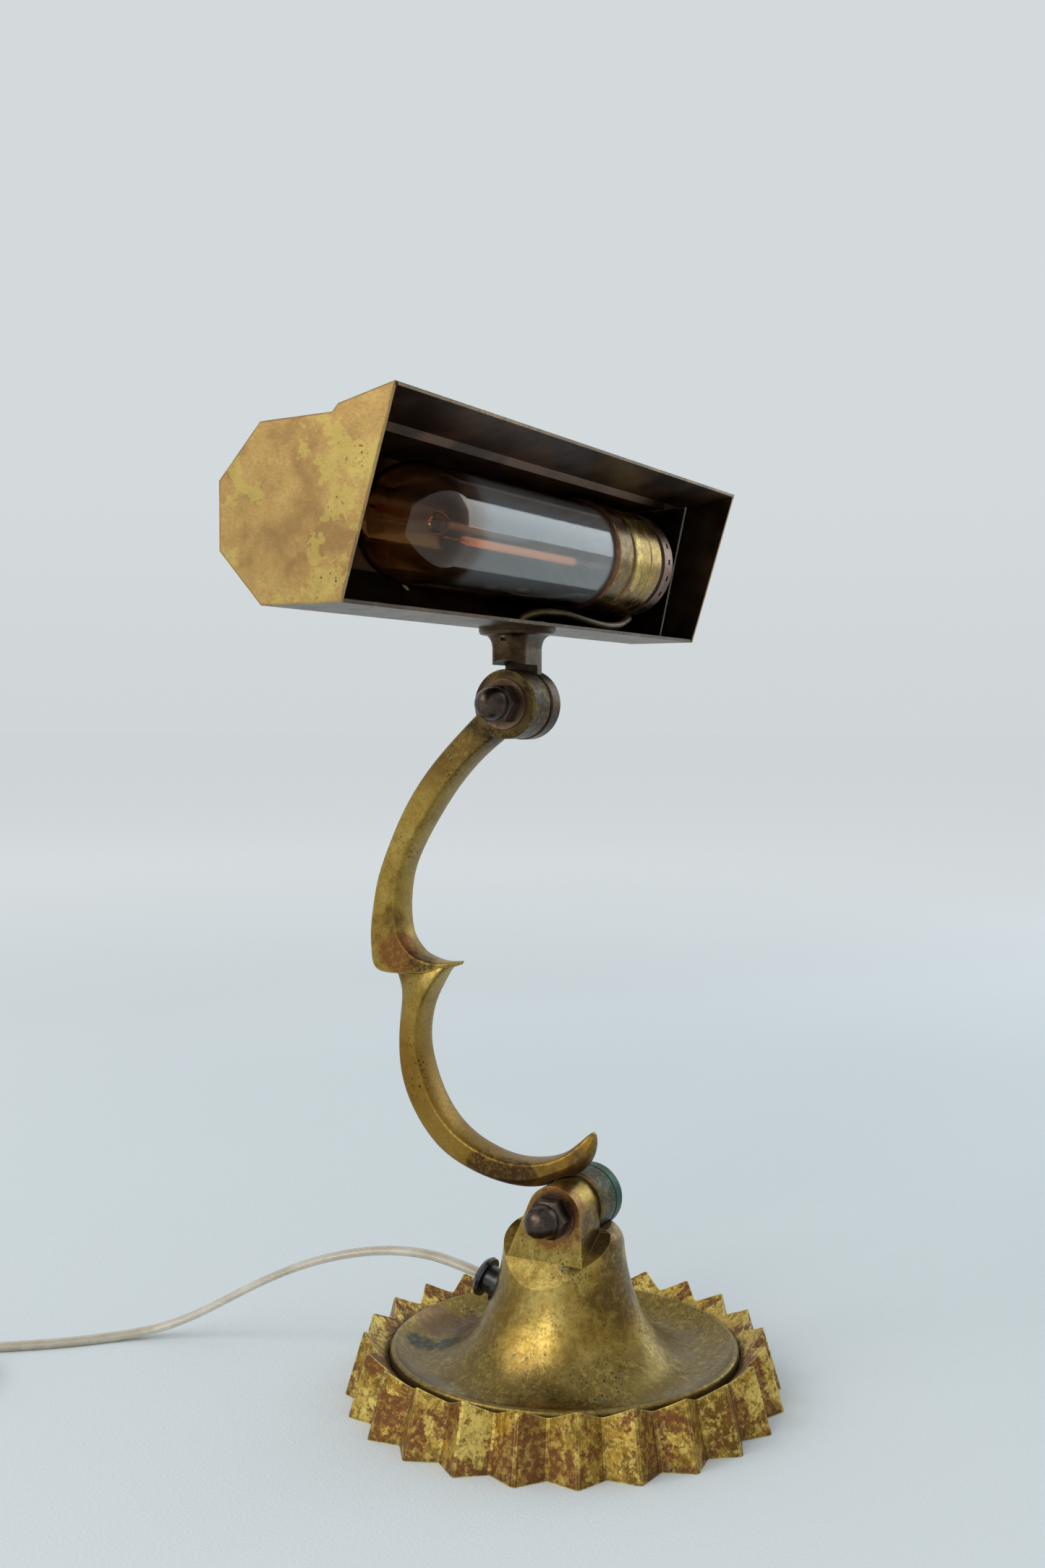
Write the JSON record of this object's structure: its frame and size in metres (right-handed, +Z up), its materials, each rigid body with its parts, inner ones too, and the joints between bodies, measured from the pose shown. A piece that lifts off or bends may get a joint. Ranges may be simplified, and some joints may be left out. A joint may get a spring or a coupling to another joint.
{
  "type": "articulated desk lamp",
  "caption": "Antique brass desk lamp: a folded trough shade over a tubular bulb, on a scrolled cast arm that tilts at the base and at the shade, with a pleated round base.",
  "frame": {"origin": "centre of the base's underside, on the table", "axes": "+Z up; the shade's long axis and both pivots run along X; the shade opens towards -Y; the arm bows and the cord leaves towards +Y"},
  "size_m": [0.3462, 0.347, 0.3383],
  "materials": {
    "ring_brass": "aged, pleated, brown and cuprite patches in the valleys",
    "bell_brass": "aged satin brass with darker spots",
    "plate_steel": "zinc plated",
    "felt": "dark green baize",
    "cast_iron": "black japanned",
    "screw_steel": "dull",
    "black_rubber": "glossy moulded",
    "clamp_fibre": "vulcanised fibre",
    "lead_insulation": "cloth covered wire",
    "nut_bronze": "dark bronzed, semi gloss",
    "verdigris_brass": "green verdigris over brown",
    "bolt_brass": "pinkish brown",
    "clear_cord": "clear sheath over copper and tinned strands",
    "plug_plastic": "brown moulded plastic",
    "plug_brass": "clean",
    "arm_brass": "cast, worn bright along the edges",
    "bracket_brass": "dark red brown with green edge",
    "shade_brass": "aged folded sheet",
    "end_brass": "tan gold flat sheet",
    "inner_brass": "dull brown",
    "copper_rim": "copper coloured rolled rim",
    "socket_brass": "polished spun shell",
    "ring_vent_brass": "pinkish pierced ring",
    "porcelain": "glazed",
    "thread_brass": "bright",
    "nipple_steel": "zinc plated",
    "amber_glass": "clear with an amber tint",
    "cap_insulator": "black glass",
    "contact_solder": "soldered",
    "stem_glass": "clear drawn rod",
    "filament": "salmon orange",
    "bulb_wire": "copper wire"
  },
  "bodies": {
    "base": {"base_ring": "ring_brass", "base_bell": "bell_brass", "bottom_plate": "plate_steel", "felt_pad": "felt", "ballast_disc": "cast_iron", "plate_screws": "screw_steel", "tie_rod": "plate_steel", "tie_rod_nut": "plate_steel", "cord_grommet": "black_rubber", "cord_clamp": "clamp_fibre", "base_lead": "lead_insulation", "lower_pivot_bolt": "verdigris_brass", "lower_nut_washer": "bolt_brass", "lower_acorn_nut": "nut_bronze", "lower_friction_washer": "bolt_brass", "cord_lead": "clear_cord", "cord_coil": "clear_cord", "cord_tail": "clear_cord", "plug_body": "plug_plastic", "plug_blades": "plug_brass"},
    "arm": {"arm_casting": "arm_brass", "arm_lead": "lead_insulation", "upper_pivot_bolt": "bolt_brass", "upper_nut_washer": "bolt_brass", "upper_acorn_nut": "nut_bronze", "upper_friction_washer": "bolt_brass"},
    "head": {"shade_shell": "shade_brass", "end_plate_left": "end_brass", "end_plate_right": "end_brass", "shade_bracket": "bracket_brass", "bracket_screws": "screw_steel", "conduit_tube": "inner_brass", "head_lead": "lead_insulation", "socket_plate": "inner_brass", "socket_rim": "copper_rim", "socket_shell": "socket_brass", "socket_ring": "ring_vent_brass", "lampholder_body": "porcelain", "lampholder_thread": "thread_brass", "socket_nipple": "nipple_steel", "socket_lock_nut": "nipple_steel", "bulb_glass": "amber_glass", "bulb_cap": "thread_brass", "bulb_cap_insulator": "cap_insulator", "bulb_contact": "contact_solder", "bulb_stem": "stem_glass", "bulb_filament": "filament", "bulb_wires": "bulb_wire"}
  },
  "joints": [
    {"name": "lower_hinge", "type": "hinge", "parent": "base", "child": "arm", "pos_m": [0, -0.0038, 0.0688], "axis": [1, 0, 0], "range_deg": [-25, 45]},
    {"name": "upper_hinge", "type": "hinge", "parent": "arm", "child": "head", "pos_m": [0, 0.021, 0.2488], "axis": [1, 0, 0], "range_deg": [-60, 100]}
  ]
}
